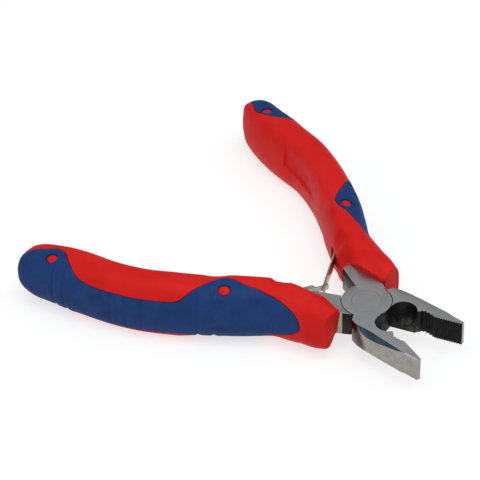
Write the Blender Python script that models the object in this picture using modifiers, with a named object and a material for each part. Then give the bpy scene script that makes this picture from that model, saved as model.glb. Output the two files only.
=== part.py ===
"""Small lap-joint combination pliers with two-part grips and interlocking leaf return springs.

Frame: the pivot axis is Z through the origin, z = 0 is the head's underside, and the jaws point along +X.
The lower lever carries the jaw on the +Y side and the handle on the -Y side; the upper lever is its mirror.
Outlines are written for one lever with the jaws closed, in millimetres:
  jaw points    (x, y)  x forward from the pivot, y outward from the closing line
  handle points (x, y)  x back from the pivot,    y outward from the closing line
  grip points   (t, n)  t back along the grip's centre line, n outward across it
"""
import math

import bmesh
import bpy
import numpy as np
from mathutils import Matrix, Vector

MM = 0.001

# Head
HEAD_THICKNESS = 6.8
MID_Z = HEAD_THICKNESS / 2
HALF_OPEN_DEG = 18.7
BOSS_RADIUS = 6.4
RUNNING_GAP = 0.25
LAP_GAP = 0.3
POCKET_STEP = 0.1
JAW_CLEARANCE = 0.1
BOSS_SEGMENTS = 48

# Jaw
TIP_X = 25.6
FINE_START_X = 17.8
FINE_TEETH = 10
FINE_DEPTH = 0.25
PIPE_START_X = 13.7
PIPE_DEPTH = 1.15
PIPE_TEETH = 4
PIPE_TOOTH_DEPTH = 0.35
JAW_OUTER = [(25.7, 1.3), (21.1, 2.9), (14.2, 5.1), (9.5, 6.35), (6.2, 6.95), (4.2, 6.9), (2.6, 5.6)]
JAW_ROOT = [(1.2, 3.4), (3.6, JAW_CLEARANCE)]
SCOOP_CENTRE = (10.1, -0.2)
SCOOP_RADIUS = 3.45
SCOOP_DEPTH = 5.8
SCOOP_RISE = 0.3
HOLLOW_RADIUS = 28.0
HOLLOW_LENGTH = 15.0
HOLLOW_TILT_DEG = 68.0
HOLLOW_SAGITTA = 1.15
HOLLOW_X = 13.5

# Rivet: radius at the head's top face, of the shank and at the underside
RIVET_TOP_RADIUS = 3.8
RIVET_SHANK_RADIUS = 2.4
RIVET_BOTTOM_RADIUS = 3.4
RIVET_CONE_HEIGHT = 1.4
RIVET_STEPS = 32

# Neck and tang of one handle
NECK = [(1.5, 2.6), (5.6, 0.5), (14.1, 1.5), (14.3, 3.2), (16.2, 5.0), (20.0, 6.0), (20.0, 10.6),
        (14.0, 10.0), (8.0, 8.2), (5.0, 7.2), (3.4, 7.0), (2.4, 5.4)]
TANG_HALF_WIDTHS = [(17.5, 2.5), (26.0, 2.5), (36.0, 2.5), (48.0, 2.4), (60.0, 2.3), (72.0, 2.1)]
TANG_HALF_THICKNESS = 2.3

# Grip centre line and half sizes: (x, y of the centre line, half width, half thickness)
GRIP_STATIONS = [(1.5, 8.2, 4.9, 4.6), (5.0, 7.7, 5.8, 5.9), (9.4, 7.3, 6.4, 7.1), (15.0, 7.4, 6.1, 7.6),
                 (22.0, 8.6, 5.2, 7.9), (30.0, 11.3, 5.5, 8.2), (38.0, 14.1, 5.5, 8.3),
                 (48.0, 16.7, 5.3, 8.8), (60.0, 17.9, 5.4, 8.7), (72.0, 17.1, 5.9, 8.2),
                 (82.0, 16.7, 5.4, 7.2), (92.0, 18.2, 4.6, 6.6)]
GRIP_START = 1.5
GRIP_END = 90.0
GRIP_CAP_LENGTH = 10.0
GRIP_CAP_POWER = 2.6
SECTION_POWER = 2.4
GRIP_RINGS = 17
GRIP_CAP_RINGS = 5
GRIP_SEGMENTS = 20
GRIP_FRONT = [(14.8, -4.0), (14.8, 1.5), (12.9, 2.3), (8.6, 4.7), (5.6, 6.5), (2.9, 7.4), (5.4, 13.2),
              (7.0, 18.0), (-4.0, 18.0), (-4.0, -4.0)]

# Soft inlay on the outer side of each grip, as (t, n); it is a closed shell of this thickness
INLAY_THICKNESS = 1.5
SEAM_GAP = 0.3
INLAY_BORDER = [(97.0, -2.4), (83.5, -2.3), (80.5, -2.5), (77.8, -1.9), (75.2, -0.2), (73.0, 2.0),
                (71.0, 4.0), (67.5, 5.0), (60.0, 5.0), (52.0, 4.85), (45.5, 4.7), (42.0, 3.9),
                (39.2, 2.0), (36.8, -0.5), (34.2, -1.8), (31.0, -1.7), (28.2, 0.2), (24.2, 2.7),
                (19.0, 3.9), (15.5, 4.4), (13.2, 5.1)]
INLAY_FRONT_T = 12.8
INLAY_FRONT_N = 6.5
INLAY_REACH = 12.0
PEG_SPOTS = [(33.0, 1.5, 7.1), (79.1, 1.1, 6.3)]
PEG_RADIUS = 1.5

# Leaf springs: root along the tang as (t, n), then the free blade as handle points
SPRING_ROOT = [(36.5, -3.05), (31.0, -3.05), (27.0, -3.1)]
SPRING_BLADE = [(22.6, 4.1), (18.0, -0.15), (13.3, -4.5), (12.5, -5.25)]
SPRING_THICKNESS = 0.5
SPRING_HEIGHT = 3.4
SPRING_TONGUE_HEIGHT = 1.4
SPRING_FORK_SLOT = 2.0
SPRING_LINK_LENGTH = 4.2
SPRING_SLOT = [(37.3, -2.45), (37.3, -4.4), (28.0, -4.7), (26.0, -9.0), (17.5, -9.0), (20.3, -4.0),
               (23.5, -2.45)]
SPRING_SLOT_HEIGHT = 4.0
STUD_T = 33.0
STUD_RADIUS = 0.6
STUD_HEAD_RADIUS = 1.2
STUD_HEAD_HEIGHT = 0.5
STUD_TIP_N = 1.4

COLOURS = {
    "steel": ((0.30, 0.30, 0.31), 0.35, 1.0),
    "spring": ((0.45, 0.43, 0.41), 0.25, 1.0),
    "red": ((0.58, 0.025, 0.022), 0.42, 0.0),
    "blue": ((0.018, 0.055, 0.19), 0.55, 0.0),
}


def clear_scene():
    for obj in list(bpy.data.objects):
        bpy.data.objects.remove(obj, do_unlink=True)


def new_collection(name):
    collection = bpy.data.collections.new(name)
    bpy.context.scene.collection.children.link(collection)
    return collection


def material(name):
    colour, roughness, metallic = COLOURS[name]
    made = bpy.data.materials.new(name)
    made.use_nodes = True
    shader = made.node_tree.nodes["Principled BSDF"]
    shader.inputs["Base Color"].default_value = (*colour, 1.0)
    shader.inputs["Roughness"].default_value = roughness
    shader.inputs["Metallic"].default_value = metallic
    return made


def smooth_curve(points, per_span):
    """Catmull-Rom points through a few hand-chosen ones."""
    pts = np.array(points, float)
    padded = np.vstack([2 * pts[0] - pts[1], pts, 2 * pts[-1] - pts[-2]])
    out = []
    for i in range(1, len(padded) - 2):
        before, start, end, after = padded[i - 1:i + 3]
        for step in range(per_span):
            u = step / per_span
            out.append(0.5 * (2 * start + (end - before) * u
                              + (2 * before - 5 * start + 4 * end - after) * u ** 2
                              + (3 * start - before - 3 * end + after) * u ** 3))
    out.append(pts[-1])
    return np.array(out)


STATION_CURVE = smooth_curve(GRIP_STATIONS, 12)


def station_values(t):
    """Centre line height, half width and half thickness of the grip at t."""
    return [float(np.interp(t, STATION_CURVE[:, 0], STATION_CURVE[:, k])) for k in (1, 2, 3)]


def grip_point(t, n):
    """Handle point of a place n outward from the centre line at t."""
    step = 0.5
    height = station_values(t)[0]
    slope = (station_values(t + step)[0] - station_values(t - step)[0]) / (2 * step)
    length = math.hypot(1, slope)
    return (t - slope / length * n, height + n / length)


def handle_to_model(point):
    """Handle points to the lower lever's closed frame."""
    return (-point[0], -point[1])


def object_from_bmesh(name, bm, collection):
    bmesh.ops.recalc_face_normals(bm, faces=bm.faces)
    mesh = bpy.data.meshes.new(name)
    bm.to_mesh(mesh)
    bm.free()
    obj = bpy.data.objects.new(name, mesh)
    collection.objects.link(obj)
    return obj


def plate(name, outline, low, high, collection):
    """A flat outline in millimetres, extruded from z = low to z = high."""
    curve = bpy.data.curves.new(name, "CURVE")
    curve.dimensions = "2D"
    curve.fill_mode = "BOTH"
    curve.extrude = (high - low) / 2 * MM
    spline = curve.splines.new("POLY")
    spline.points.add(len(outline) - 1)
    for point, (x, y) in zip(spline.points, outline):
        point.co = (x * MM, y * MM, 0, 1)
    spline.use_cyclic_u = True
    holder = bpy.data.objects.new(name + "_curve", curve)
    bpy.context.scene.collection.objects.link(holder)
    bpy.context.view_layer.update()
    mesh = bpy.data.meshes.new_from_object(holder.evaluated_get(bpy.context.evaluated_depsgraph_get()))
    bpy.data.objects.remove(holder, do_unlink=True)
    bm = bmesh.new()
    bm.from_mesh(mesh)
    bpy.data.meshes.remove(mesh)
    bmesh.ops.remove_doubles(bm, verts=bm.verts, dist=1e-6)
    bmesh.ops.translate(bm, verts=bm.verts, vec=(0, 0, (high + low) / 2 * MM))
    return object_from_bmesh(name, bm, collection)


def rod(name, radius, start, end, collection, segments=24):
    """A cylinder between two points in millimetres."""
    start, end = Vector(start), Vector(end)
    axis = end - start
    bm = bmesh.new()
    bmesh.ops.create_cone(bm, cap_ends=True, segments=segments, radius1=radius * MM,
                          radius2=radius * MM, depth=axis.length * MM)
    turn = Vector((0, 0, 1)).rotation_difference(axis).to_matrix().to_4x4()
    bmesh.ops.transform(bm, matrix=Matrix.Translation((start + end) / 2 * MM) @ turn, verts=bm.verts)
    return object_from_bmesh(name, bm, collection)


def turned(name, profile, collection, steps):
    """A profile of (radius, z) points, top to bottom, turned about Z."""
    bm = bmesh.new()
    verts = [bm.verts.new((radius * MM, 0, z * MM)) for radius, z in profile]
    for a, b in zip(verts, verts[1:]):
        bm.edges.new((a, b))
    mesh = bpy.data.meshes.new(name)
    bm.to_mesh(mesh)
    bm.free()
    obj = bpy.data.objects.new(name, mesh)
    collection.objects.link(obj)
    screw = obj.modifiers.new("turn", "SCREW")
    screw.steps = screw.render_steps = steps
    screw.use_merge_vertices = True
    screw.merge_threshold = 0.00001
    return obj


def boolean(obj, other, operation="DIFFERENCE"):
    modifier = obj.modifiers.new(operation.lower() + "_" + other.name, "BOOLEAN")
    modifier.operation = operation
    modifier.solver = "EXACT"
    modifier.object = other
    return obj


def cap_factor(t, end):
    """How far the rounded end has closed in at t: 1 on the body, 0 at the very end."""
    u = (t - (end - GRIP_CAP_LENGTH)) / GRIP_CAP_LENGTH
    return 1.0 if u <= 0 else max(0.0, 1 - u ** GRIP_CAP_POWER) ** (1 / GRIP_CAP_POWER)


def grip_loft(name, inset, start, collection):
    """The grip's outer form, or its copy shrunk by inset, as rings of superellipses."""
    end = GRIP_END - inset
    body = np.linspace(start, end - GRIP_CAP_LENGTH, GRIP_RINGS)
    cap = [end - GRIP_CAP_LENGTH * (1 - math.sin(math.pi / 2 * k / GRIP_CAP_RINGS))
           for k in range(1, GRIP_CAP_RINGS)]
    bm = bmesh.new()
    rings = []
    for t in [*body, *cap]:
        _, width, thickness = station_values(t)
        shrink = cap_factor(t, end)
        ring = []
        for k in range(GRIP_SEGMENTS):
            angle = 2 * math.pi * k / GRIP_SEGMENTS
            c, s = math.cos(angle), math.sin(angle)
            n = math.copysign(abs(c) ** (2 / SECTION_POWER), c) * (width - inset) * shrink
            z = math.copysign(abs(s) ** (2 / SECTION_POWER), s) * (thickness - inset) * shrink
            x, y = handle_to_model(grip_point(t, n))
            ring.append(bm.verts.new((x * MM, y * MM, (MID_Z + z) * MM)))
        rings.append(ring)
    for ring, following in zip(rings, rings[1:]):
        for k in range(GRIP_SEGMENTS):
            j = (k + 1) % GRIP_SEGMENTS
            bm.faces.new((ring[k], ring[j], following[j], following[k]))
    bm.faces.new(rings[0])
    x, y = handle_to_model(grip_point(end, 0))
    tip = bm.verts.new((x * MM, y * MM, MID_Z * MM))
    for k in range(GRIP_SEGMENTS):
        bm.faces.new((rings[-1][k], rings[-1][(k + 1) % GRIP_SEGMENTS], tip))
    return object_from_bmesh(name, bm, collection)


def tooth_row(start, end, count, depth, base):
    """Saw points from start to end, cut a little deeper mid-row; base gives the tooth tips' y at x."""
    points = []
    pitch = (end - start) / count
    for k in range(count):
        x = start + k * pitch
        share = (k + 0.5) / count
        points.append((x, base(x)))
        points.append((x + pitch / 2, base(x + pitch / 2) + depth * (1 + share * (1 - share))))
    points.append((end, base(end)))
    return points


def jaw_outline():
    fine = tooth_row(TIP_X, FINE_START_X, FINE_TEETH, FINE_DEPTH, lambda x: JAW_CLEARANCE)
    middle = (FINE_START_X + PIPE_START_X) / 2
    half = (FINE_START_X - PIPE_START_X) / 2

    def pipe_floor(x):
        return JAW_CLEARANCE + PIPE_DEPTH * (1 - ((x - middle) / half) ** 2)

    pipe = tooth_row(FINE_START_X - 0.02, PIPE_START_X, PIPE_TEETH, PIPE_TOOTH_DEPTH, pipe_floor)
    return fine + pipe + JAW_ROOT[::-1] + JAW_OUTER[::-1]


def hollow_cutter(name, upper, collection):
    """The grinding wheel that leaves the long hollow between a jaw's outer side and one flat face.

    Both halves are the same forging, one turned over, so it is the top face on the upper lever and the
    underside on the lower one."""
    (x0, y0), (x1, y1) = JAW_OUTER[1], JAW_OUTER[3]
    along = Vector((x1 - x0, y1 - y0, 0)).normalized()
    outward = Vector((-along.y, along.x, 0))
    if outward.y < 0:
        outward = -outward
    share = (HOLLOW_X - x0) / (x1 - x0)
    edge = Vector((HOLLOW_X, y0 + (y1 - y0) * share, HEAD_THICKNESS if upper else 0.0))
    away = Vector((0, 0, 1 if upper else -1))
    tilt = math.radians(HOLLOW_TILT_DEG)
    across = outward * math.cos(tilt) - away * math.sin(tilt)
    normal = outward * math.sin(tilt) + away * math.cos(tilt)
    centre = edge + normal * (HOLLOW_RADIUS - HOLLOW_SAGITTA)
    return rod(name, HOLLOW_RADIUS, centre - across * HOLLOW_LENGTH, centre + across * HOLLOW_LENGTH,
               collection, 128)


def scoop_cutter(name, collection):
    """The round relief behind the cutting edge, sunk from the head's top face."""
    bm = bmesh.new()
    bmesh.ops.create_uvsphere(bm, u_segments=32, v_segments=16, radius=MM)
    bmesh.ops.scale(bm, vec=(SCOOP_RADIUS, SCOOP_RADIUS, SCOOP_DEPTH), verts=bm.verts)
    centre = Vector((*SCOOP_CENTRE, HEAD_THICKNESS + SCOOP_RISE)) * MM
    bmesh.ops.translate(bm, verts=bm.verts, vec=centre)
    return object_from_bmesh(name, bm, collection)


def rivet_profile(gap, over):
    """The pivot rivet's outline; gap widens it and over carries its cones on past both faces."""
    top_cone = (RIVET_TOP_RADIUS - RIVET_SHANK_RADIUS) / RIVET_CONE_HEIGHT
    bottom_cone = (RIVET_BOTTOM_RADIUS - RIVET_SHANK_RADIUS) / RIVET_CONE_HEIGHT
    return [(0, HEAD_THICKNESS + over),
            (RIVET_TOP_RADIUS + gap + over * top_cone, HEAD_THICKNESS + over),
            (RIVET_SHANK_RADIUS + gap, HEAD_THICKNESS - RIVET_CONE_HEIGHT),
            (RIVET_SHANK_RADIUS + gap, RIVET_CONE_HEIGHT),
            (RIVET_BOTTOM_RADIUS + gap + over * bottom_cone, -over),
            (0, -over)]


def offset_outline(outline, distance):
    """Moves each corner of a closed outline outward along its two sides' mean normal."""
    pts = np.array(outline, float)
    area = 0.5 * np.sum(pts[:, 0] * np.roll(pts[:, 1], -1) - np.roll(pts[:, 0], -1) * pts[:, 1])
    sign = 1 if area > 0 else -1
    out = []
    for i, point in enumerate(pts):
        before = point - pts[i - 1]
        after = pts[(i + 1) % len(pts)] - point
        na = np.array([before[1], -before[0]]) / np.hypot(*before) * sign
        nb = np.array([after[1], -after[0]]) / np.hypot(*after) * sign
        mean = (na + nb) / np.linalg.norm(na + nb)
        out.append(tuple(point + mean * distance / max(0.5, float(mean @ na))))
    return out


def tang_outline():
    outer = [grip_point(t, half) for t, half in TANG_HALF_WIDTHS]
    inner = [grip_point(t, -half) for t, half in reversed(TANG_HALF_WIDTHS)]
    return outer + inner


def neck_and_tang(name, gap, collection):
    """Neck at full head thickness and the thinner tang behind it, or the socket they need."""
    neck = [handle_to_model(p) for p in offset_outline(NECK, gap)]
    tang = [handle_to_model(p) for p in offset_outline(tang_outline(), gap)]
    solid = plate(name, neck, -gap, HEAD_THICKNESS + gap, collection)
    shank = plate(name + "_tang", tang, MID_Z - TANG_HALF_THICKNESS - gap,
                  MID_Z + TANG_HALF_THICKNESS + gap, collection)
    return boolean(solid, shank, "UNION")


def stud_line(n):
    """A place on the spring stud's axis, n outward from the grip's centre line."""
    x, y = handle_to_model(grip_point(STUD_T, n))
    return (x, y, MID_Z)


def make_lever(name, upper, cutters, parts):
    """One forged half: jaw, half-thickness boss, neck and tang. The upper one is mirrored in Y."""
    jaw = plate(name, jaw_outline(), 0, HEAD_THICKNESS, parts)
    boolean(jaw, hollow_cutter(name + "_hollow_wheel", upper, cutters))
    boolean(jaw, scoop_cutter(name + "_scoop_ball", cutters))
    neck = neck_and_tang(name + "_neck", 0.0, cutters)
    boolean(jaw, neck, "UNION")
    lap_low = MID_Z - LAP_GAP / 2
    lap_high = MID_Z + LAP_GAP / 2
    if upper:
        pocket_span, boss_span = (-1.0, lap_high + POCKET_STEP), (lap_high, HEAD_THICKNESS)
    else:
        pocket_span, boss_span = (lap_low - POCKET_STEP, HEAD_THICKNESS + 1.0), (0.0, lap_low)
    pocket = rod(name + "_pocket", BOSS_RADIUS + RUNNING_GAP, (0, 0, pocket_span[0]),
                 (0, 0, pocket_span[1]), cutters, BOSS_SEGMENTS)
    boolean(jaw, pocket)
    boss = rod(name + "_boss", BOSS_RADIUS, (0, 0, boss_span[0]), (0, 0, boss_span[1]), cutters,
               BOSS_SEGMENTS)
    boolean(jaw, boss, "UNION")
    bore = turned(name + "_bore", rivet_profile(RUNNING_GAP, 1.0), cutters, RIVET_STEPS)
    boolean(jaw, bore)
    stud_hole = rod(name + "_stud_hole", STUD_RADIUS + SEAM_GAP, stud_line(-5.0),
                    stud_line(STUD_TIP_N + SEAM_GAP), cutters, 16)
    boolean(jaw, stud_hole)
    return jaw


def inlay_region(gap):
    """Outline of the inlay seen from above, as handle points; gap widens it."""
    border = [tuple(p) for p in smooth_curve(INLAY_BORDER, 2)]
    loop = border + [(INLAY_FRONT_T, INLAY_FRONT_N), (INLAY_FRONT_T, INLAY_REACH), (97.0, INLAY_REACH)]
    region = [grip_point(t, n) for t, n in loop]
    return offset_outline(region, gap) if gap else region


def make_grip(name, cutters, parts):
    core = grip_loft(name + "_grip_core", 0.0, GRIP_START, parts)
    front = [handle_to_model(p) for p in GRIP_FRONT]
    boolean(core, plate(name + "_grip_front", front, -10, 20, cutters))
    recess = plate(name + "_inlay_recess", [handle_to_model(p) for p in inlay_region(SEAM_GAP)],
                   -10, 20, cutters)
    boolean(recess, grip_loft(name + "_recess_floor", INLAY_THICKNESS + SEAM_GAP, GRIP_START, cutters))
    for k, (t, n, reach) in enumerate(PEG_SPOTS):
        x, y = handle_to_model(grip_point(t, n))
        peg = rod(f"{name}_peg_{k}", PEG_RADIUS, (x, y, MID_Z - reach), (x, y, MID_Z + reach), cutters, 16)
        boolean(recess, peg)
    boolean(core, recess)
    boolean(core, neck_and_tang(name + "_socket", RUNNING_GAP, cutters))
    slot = [handle_to_model(grip_point(t, n)) for t, n in SPRING_SLOT]
    boolean(core, plate(name + "_spring_slot", slot, MID_Z - SPRING_SLOT_HEIGHT / 2,
                        MID_Z + SPRING_SLOT_HEIGHT / 2, cutters))

    inlay = grip_loft(name + "_grip_inlay", 0.0, GRIP_START, parts)
    region = [handle_to_model(p) for p in inlay_region(0.0)]
    boolean(inlay, plate(name + "_inlay_region", region, -9, 19, cutters), "INTERSECT")
    boolean(inlay, grip_loft(name + "_inlay_floor", INLAY_THICKNESS, GRIP_START, cutters))
    for k, (t, n, _) in enumerate(PEG_SPOTS):
        x, y = handle_to_model(grip_point(t, n))
        hole = rod(f"{name}_peg_hole_{k}", PEG_RADIUS + SEAM_GAP, (x, y, -9), (x, y, 19), cutters, 16)
        boolean(inlay, hole)
    return core, inlay


def make_spring(name, forked, cutters, parts):
    """A flat blade on edge; its tip is a tongue, or a fork that the other blade's tongue runs through."""
    root = [grip_point(t, n) for t, n in SPRING_ROOT]
    path = smooth_curve(root + SPRING_BLADE, 4)
    tangents = np.gradient(path, axis=0)
    tangents /= np.linalg.norm(tangents, axis=1)[:, None]
    side = np.column_stack([-tangents[:, 1], tangents[:, 0]]) * SPRING_THICKNESS / 2
    outline = [handle_to_model(p) for p in [*(path + side), *(path - side)[::-1]]]
    blade = plate(name, outline, MID_Z - SPRING_HEIGHT / 2, MID_Z + SPRING_HEIGHT / 2, parts)
    tip, before = np.array(SPRING_BLADE[-1]), np.array(SPRING_BLADE[-3])
    along = (before - tip) / np.linalg.norm(before - tip)
    across = np.array([-along[1], along[0]])
    reach = SPRING_LINK_LENGTH if not forked else SPRING_LINK_LENGTH - 1.0
    corners = [tip - along * 2 - across * 2, tip - along * 2 + across * 2,
               tip + along * reach + across * 2, tip + along * reach - across * 2]
    window = [handle_to_model(p) for p in corners]
    if forked:
        half = SPRING_FORK_SLOT / 2
        inner = [tip + along * 0.45 - across * 2, tip + along * 0.45 + across * 2, corners[2], corners[3]]
        boolean(blade, plate(name + "_slot", [handle_to_model(p) for p in inner], MID_Z - half,
                             MID_Z + half, cutters))
    else:
        half = SPRING_TONGUE_HEIGHT / 2
        boolean(blade, plate(name + "_trim_top", window, MID_Z + half, MID_Z + 5, cutters))
        boolean(blade, plate(name + "_trim_bottom", window, MID_Z - 5, MID_Z - half, cutters))
    eye = rod(name + "_eye", STUD_RADIUS + SEAM_GAP, stud_line(-5.0), stud_line(-1.0), cutters, 16)
    return boolean(blade, eye)


def make_stud(name, cutters, parts):
    """The small rivet that holds a spring's root on the tang."""
    head_n = SPRING_ROOT[0][1] - SPRING_THICKNESS / 2 - SEAM_GAP
    stud = rod(name, STUD_RADIUS, stud_line(head_n - STUD_HEAD_HEIGHT / 2), stud_line(STUD_TIP_N), parts, 16)
    head = rod(name + "_head", STUD_HEAD_RADIUS, stud_line(head_n - STUD_HEAD_HEIGHT), stud_line(head_n),
               cutters, 16)
    return boolean(stud, head, "UNION")


def hide_cutters(collection):
    for obj in collection.objects:
        obj.hide_render = True
        obj.display_type = "WIRE"


def place(objects, parent, upper):
    """Turns the closed shapes to the open rest pose; the upper lever's are mirrored in Y first."""
    turn = math.radians(HALF_OPEN_DEG)
    for obj in objects:
        if upper:
            obj.data.transform(Matrix.Diagonal((1, -1, 1, 1)))
            obj.data.flip_normals()
        obj.parent = parent
    parent.rotation_euler.z = -turn if upper else turn


def shade(obj, made):
    obj.data.materials.clear()
    obj.data.materials.append(made)
    obj.data.shade_smooth()
    obj.data.set_sharp_from_angle(angle=math.radians(32))


def main():
    clear_scene()
    parts = new_collection("crimping_pliers")
    cutters = new_collection("cutters")
    materials = {name: material(name) for name in COLOURS}

    for upper in (False, True):
        side = "upper" if upper else "lower"
        axis = bpy.data.objects.new(side + "_lever_axis", None)
        parts.objects.link(axis)
        before = set(parts.objects) | set(cutters.objects)
        lever = make_lever(side + "_lever", upper, cutters, parts)
        core, inlay = make_grip(side, cutters, parts)
        spring = make_spring(side + "_spring", upper, cutters, parts)
        stud = make_stud(side + "_spring_rivet", cutters, parts)
        for obj, finish in ((lever, "steel"), (core, "red"), (inlay, "blue"), (spring, "spring"),
                            (stud, "spring")):
            shade(obj, materials[finish])
        made = (set(parts.objects) | set(cutters.objects)) - before
        place(sorted(made, key=lambda obj: obj.name), axis, upper)

    rivet = turned("pivot_rivet", rivet_profile(0.0, 0.0), parts, RIVET_STEPS)
    shade(rivet, materials["steel"])
    hide_cutters(cutters)


main()
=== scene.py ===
"""Visual model of the crimping pliers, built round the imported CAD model.

Outlines are written for one lever with the jaws closed, in millimetres, as in the CAD:
  jaw points    (x, y)  x forward from the pivot, y outward from the closing line
  handle points (x, y)  x back from the pivot,    y outward from the closing line
  grip points   (t, n)  t back along the grip's centre line, n outward across it
The lower lever uses them as they are, turned to the open rest pose, and the upper lever is the mirror image.
"""
import math

import bmesh
import bpy
import numpy as np
from mathutils import Matrix, Vector


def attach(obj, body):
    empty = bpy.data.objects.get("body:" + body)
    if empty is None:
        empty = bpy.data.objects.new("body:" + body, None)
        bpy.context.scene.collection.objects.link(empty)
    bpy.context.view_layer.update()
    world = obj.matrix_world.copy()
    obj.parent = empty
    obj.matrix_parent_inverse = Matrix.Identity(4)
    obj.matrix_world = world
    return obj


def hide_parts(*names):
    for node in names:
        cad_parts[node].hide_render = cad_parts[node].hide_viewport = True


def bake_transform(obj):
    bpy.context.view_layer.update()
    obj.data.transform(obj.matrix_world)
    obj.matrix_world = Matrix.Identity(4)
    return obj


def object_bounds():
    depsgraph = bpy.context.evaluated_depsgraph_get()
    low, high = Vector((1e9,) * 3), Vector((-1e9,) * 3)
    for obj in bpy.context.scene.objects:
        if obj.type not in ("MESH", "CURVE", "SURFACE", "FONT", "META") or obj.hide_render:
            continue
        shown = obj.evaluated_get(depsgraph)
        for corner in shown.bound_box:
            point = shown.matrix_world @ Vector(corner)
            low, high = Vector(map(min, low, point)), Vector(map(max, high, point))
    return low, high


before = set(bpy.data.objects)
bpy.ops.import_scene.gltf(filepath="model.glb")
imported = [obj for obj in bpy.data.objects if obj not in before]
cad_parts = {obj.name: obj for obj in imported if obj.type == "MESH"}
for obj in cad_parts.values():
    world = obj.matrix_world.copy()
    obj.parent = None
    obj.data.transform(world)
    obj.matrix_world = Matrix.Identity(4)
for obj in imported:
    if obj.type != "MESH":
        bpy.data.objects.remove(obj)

CAD_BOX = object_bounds()

MM = 0.001

# Head
HEAD_THICKNESS = 6.8
MID_Z = HEAD_THICKNESS / 2
HALF_OPEN = math.radians(18.7)
BOSS_RADIUS = 6.4
RUNNING_GAP = 0.22
LAP_GAP = 0.3
POCKET_STEP = 0.1
JAW_CLEARANCE = 0.1

# Jaw
TIP_X = 25.58
FINE_START_X = 18.4
FINE_TEETH = 11
FINE_DEPTH = 0.27
PIPE_TEETH = [(18.1, 0.5), (17.75, 0.35), (17.25, 1.0), (16.85, 0.75), (16.3, 1.4), (15.85, 1.1),
              (15.35, 1.65), (14.9, 1.3), (14.45, 1.5), (14.05, 0.9), (13.5, 0.75), (13.1, JAW_CLEARANCE)]
JAW_OUTER = [(25.68, 1.3), (21.1, 2.9), (14.2, 5.1), (10.8, 6.1), (8.4, 6.75), (6.4, 7.1), (4.6, 7.1)]
JAW_HEEL = [(4.45, 6.95), (2.6, 5.3)]
JAW_ROOT = [(1.2, 3.4), (3.6, JAW_CLEARANCE)]
TIP_EDGE_X = 21.9
TIP_BEVEL = 0.3
EDGE_BEVEL = 0.12
SCOOP_CENTRE = (10.1, -0.2)
SCOOP_RADIUS = 3.45
SCOOP_DEPTH = 5.8
SCOOP_RISE = 0.3
HOLLOW_TILT = math.radians(76.0)
HOLLOW_PROFILE = [(5.2, -0.12), (6.0, 0.08), (7.3, 0.33), (8.8, 0.48), (10.4, 0.54), (12.8, 0.45),
                  (15.2, 0.33), (17.5, 0.24), (19.8, 0.13), (21.6, 0.0), (23.0, -0.12)]
HOLLOW_ENDS = (5.0, 22.2)

# Painted reflection on the jaws: the heel's outer wall is painted dark as a reflection of the shaded grip,
# fading out along a line that leans with the height
HEEL_X = 11.0
HEEL_FADE = (8.9, 10.7)
HEEL_LEAN = 0.36
# a light spot painted low in the cutter's relief, as a reflection of the floor
FLOOR_REFLECTION_SPOT = (10.7, 5.95, 0.9)
FLOOR_REFLECTION_FADE = (1.1, 2.6)

# Rivet
RIVET_TOP_RADIUS = 3.8
RIVET_SHANK_RADIUS = 2.4
RIVET_BOTTOM_RADIUS = 3.4
RIVET_CONE_HEIGHT = 1.4
RIVET_FIT = 0.015

# Neck of one handle
NECK = [(1.5, 2.6), (5.6, 0.5), (14.1, 1.5), (14.3, 3.2), (16.2, 5.0), (20.0, 6.0), (20.0, 10.6),
        (14.0, 10.0), (8.0, 8.2), (5.0, 7.2), (3.9, 7.0), (1.5, 6.5), (2.0, 5.4)]
TANG = [(17.5, 2.5), (26.0, 2.5), (36.0, 2.5), (48.0, 2.4), (60.0, 2.3), (72.0, 2.1)]
TANG_HALF_THICKNESS = 2.3
SOCKET_FIT = 0.06

# Grip centre line and half sizes: (x, y of the centre line, half width, half thickness)
GRIP_STATIONS = [(1.5, 8.2, 4.9, 4.6), (5.0, 7.7, 5.8, 5.9), (9.4, 7.3, 6.4, 7.1), (15.0, 7.4, 6.1, 7.6),
                 (22.0, 8.6, 5.2, 7.9), (30.0, 11.3, 5.5, 8.2), (38.0, 14.1, 5.5, 8.3),
                 (48.0, 16.7, 5.3, 8.8), (60.0, 17.9, 5.4, 8.7), (72.0, 17.1, 5.9, 8.2),
                 (82.0, 16.7, 5.4, 7.2), (92.0, 18.2, 4.6, 6.6)]
GRIP_START = 1.5
GRIP_END = 90.0
CAP_LENGTH = 10.0
CAP_POWER = 2.9
SECTION_POWER = 2.4
MIDDLE_SECTION = (5.5, 8.3)
FRONT_BOXINESS = 0.9
RING_PITCH = 0.32
CAP_RINGS = 36
SEGMENTS = 136
GRIP_FRONT = [(14.8, -4.0), (14.8, 1.5), (12.9, 2.3), (8.6, 4.7), (5.6, 6.5), (2.9, 7.4), (5.4, 13.2),
              (7.0, 18.0)]
GRIP_KEPT_BACK = [(7.0, 45.0), (110.0, 45.0), (110.0, -4.0)]
LOWER_SETBACK = 0.6
FRONT_CORNER = 0.4
FRONT_ROWS = 10

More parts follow.
